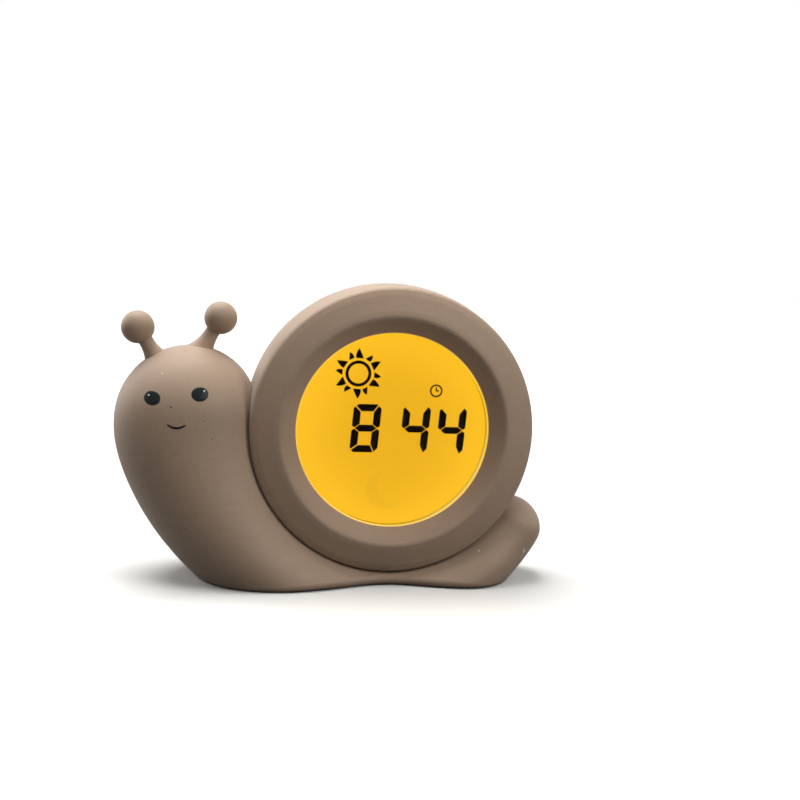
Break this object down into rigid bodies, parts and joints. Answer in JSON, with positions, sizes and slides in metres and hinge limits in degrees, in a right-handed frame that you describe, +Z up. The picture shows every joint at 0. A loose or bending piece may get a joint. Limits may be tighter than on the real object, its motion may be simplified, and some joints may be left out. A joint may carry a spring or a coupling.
{
  "type": "kids alarm clock with night light",
  "caption": "Snail-shaped bedside alarm clock: a round drum with a lit, dished clock face sits in a soft matt body with two ball-tipped antennae; controls and battery bay at the rear.",
  "frame": {"origin": "on the table, in the parting plane of the housings, straight below the drum's axis", "axes": "+X from head to tail, -Y towards the viewer of the clock face, +Z up"},
  "size_m": [0.1838, 0.0662, 0.1254],
  "materials": {
    "body_touch": "soft-touch matt",
    "shell_touch": "soft-touch matt",
    "button_touch": "soft-touch matt",
    "pad_rubber": "matt",
    "clear_window": "polished clear",
    "display_glass": "polished, tinted by the light behind",
    "glow_sheet": "lit from behind",
    "guide_clear": "polished acrylic",
    "white_plastic": "moulded, fine texture",
    "strip_lamps": "lit",
    "board_green": "solder mask",
    "chip_black": "moulded",
    "switch_black": "moulded",
    "steel": "zinc plated",
    "spring_steel": "nickel plated",
    "speaker_black": "moulded",
    "cone_paper": "pressed",
    "gasket_foam": "foam",
    "connector_rubber": "matt",
    "ribbon_white": "laminated",
    "cell_sleeve": "printed sleeve, plain"
  },
  "bodies": {
    "root": {"body_front": "body_touch", "body_rear": "body_touch", "antenna_left": "body_touch", "antenna_right": "body_touch", "base_pad": "pad_rubber", "body_screws": "steel", "shell_ring": "shell_touch", "shell_back": "shell_touch", "shell_screws": "steel", "display_window": "clear_window", "lcd_front_glass": "display_glass", "lcd_rear_glass": "display_glass", "diffuser": "glow_sheet", "light_guide": "guide_clear", "reflector": "white_plastic", "light_strip_left": "strip_lamps", "light_strip_right": "strip_lamps", "display_tray": "white_plastic", "tray_screws": "steel", "zebra_strip": "connector_rubber", "main_board": "board_green", "main_board_chips": "chip_black", "main_board_screws": "steel", "button_board": "board_green", "button_board_screws": "steel", "tact_switches": "switch_black", "slide_switch": "switch_black", "power_inlet": "steel", "ribbon_cable": "ribbon_white", "speaker_gasket": "gasket_foam", "speaker_frame": "speaker_black", "speaker_magnet": "steel", "speaker_cone": "cone_paper", "battery_cells": "cell_sleeve", "contact_plates": "spring_steel", "contact_springs": "spring_steel"},
    "battery_door": {"battery_door": "shell_touch", "door_screw": "steel"},
    "alarm_slider": {"alarm_slider": "switch_black"},
    "button_down": {"button_down": "button_touch", "plunger_down": "switch_black"},
    "button_light": {"button_light": "button_touch", "plunger_light": "switch_black"},
    "button_time": {"button_time": "button_touch", "plunger_time": "switch_black"},
    "button_alarm": {"button_alarm": "button_touch", "plunger_alarm": "switch_black"},
    "button_up": {"button_up": "button_touch", "plunger_up": "switch_black"}
  },
  "joints": [
    {"name": "press_down", "type": "slide", "parent": "root", "child": "button_down", "axis": [0, -1, 0], "range_m": [0, 0.0006], "stiffness_N_per_m": 600, "springref_m": -0.0005},
    {"name": "press_light", "type": "slide", "parent": "root", "child": "button_light", "axis": [0, -1, 0], "range_m": [0, 0.0006], "stiffness_N_per_m": 600, "springref_m": -0.0005},
    {"name": "press_time", "type": "slide", "parent": "root", "child": "button_time", "axis": [0, -1, 0], "range_m": [0, 0.0006], "stiffness_N_per_m": 600, "springref_m": -0.0005},
    {"name": "press_alarm", "type": "slide", "parent": "root", "child": "button_alarm", "axis": [0, -1, 0], "range_m": [0, 0.0006], "stiffness_N_per_m": 600, "springref_m": -0.0005},
    {"name": "press_up", "type": "slide", "parent": "root", "child": "button_up", "axis": [0, -1, 0], "range_m": [0, 0.0006], "stiffness_N_per_m": 600, "springref_m": -0.0005},
    {"name": "alarm_slide", "type": "slide", "parent": "root", "child": "alarm_slider", "axis": [1, 0, 0], "range_m": [0, 0.004]},
    {"name": "battery_door_swing", "type": "hinge", "parent": "root", "child": "battery_door", "pos_m": [0, 0.0235, 0.0271], "axis": [-1, 0, 0], "range_deg": [0, 75]}
  ]
}
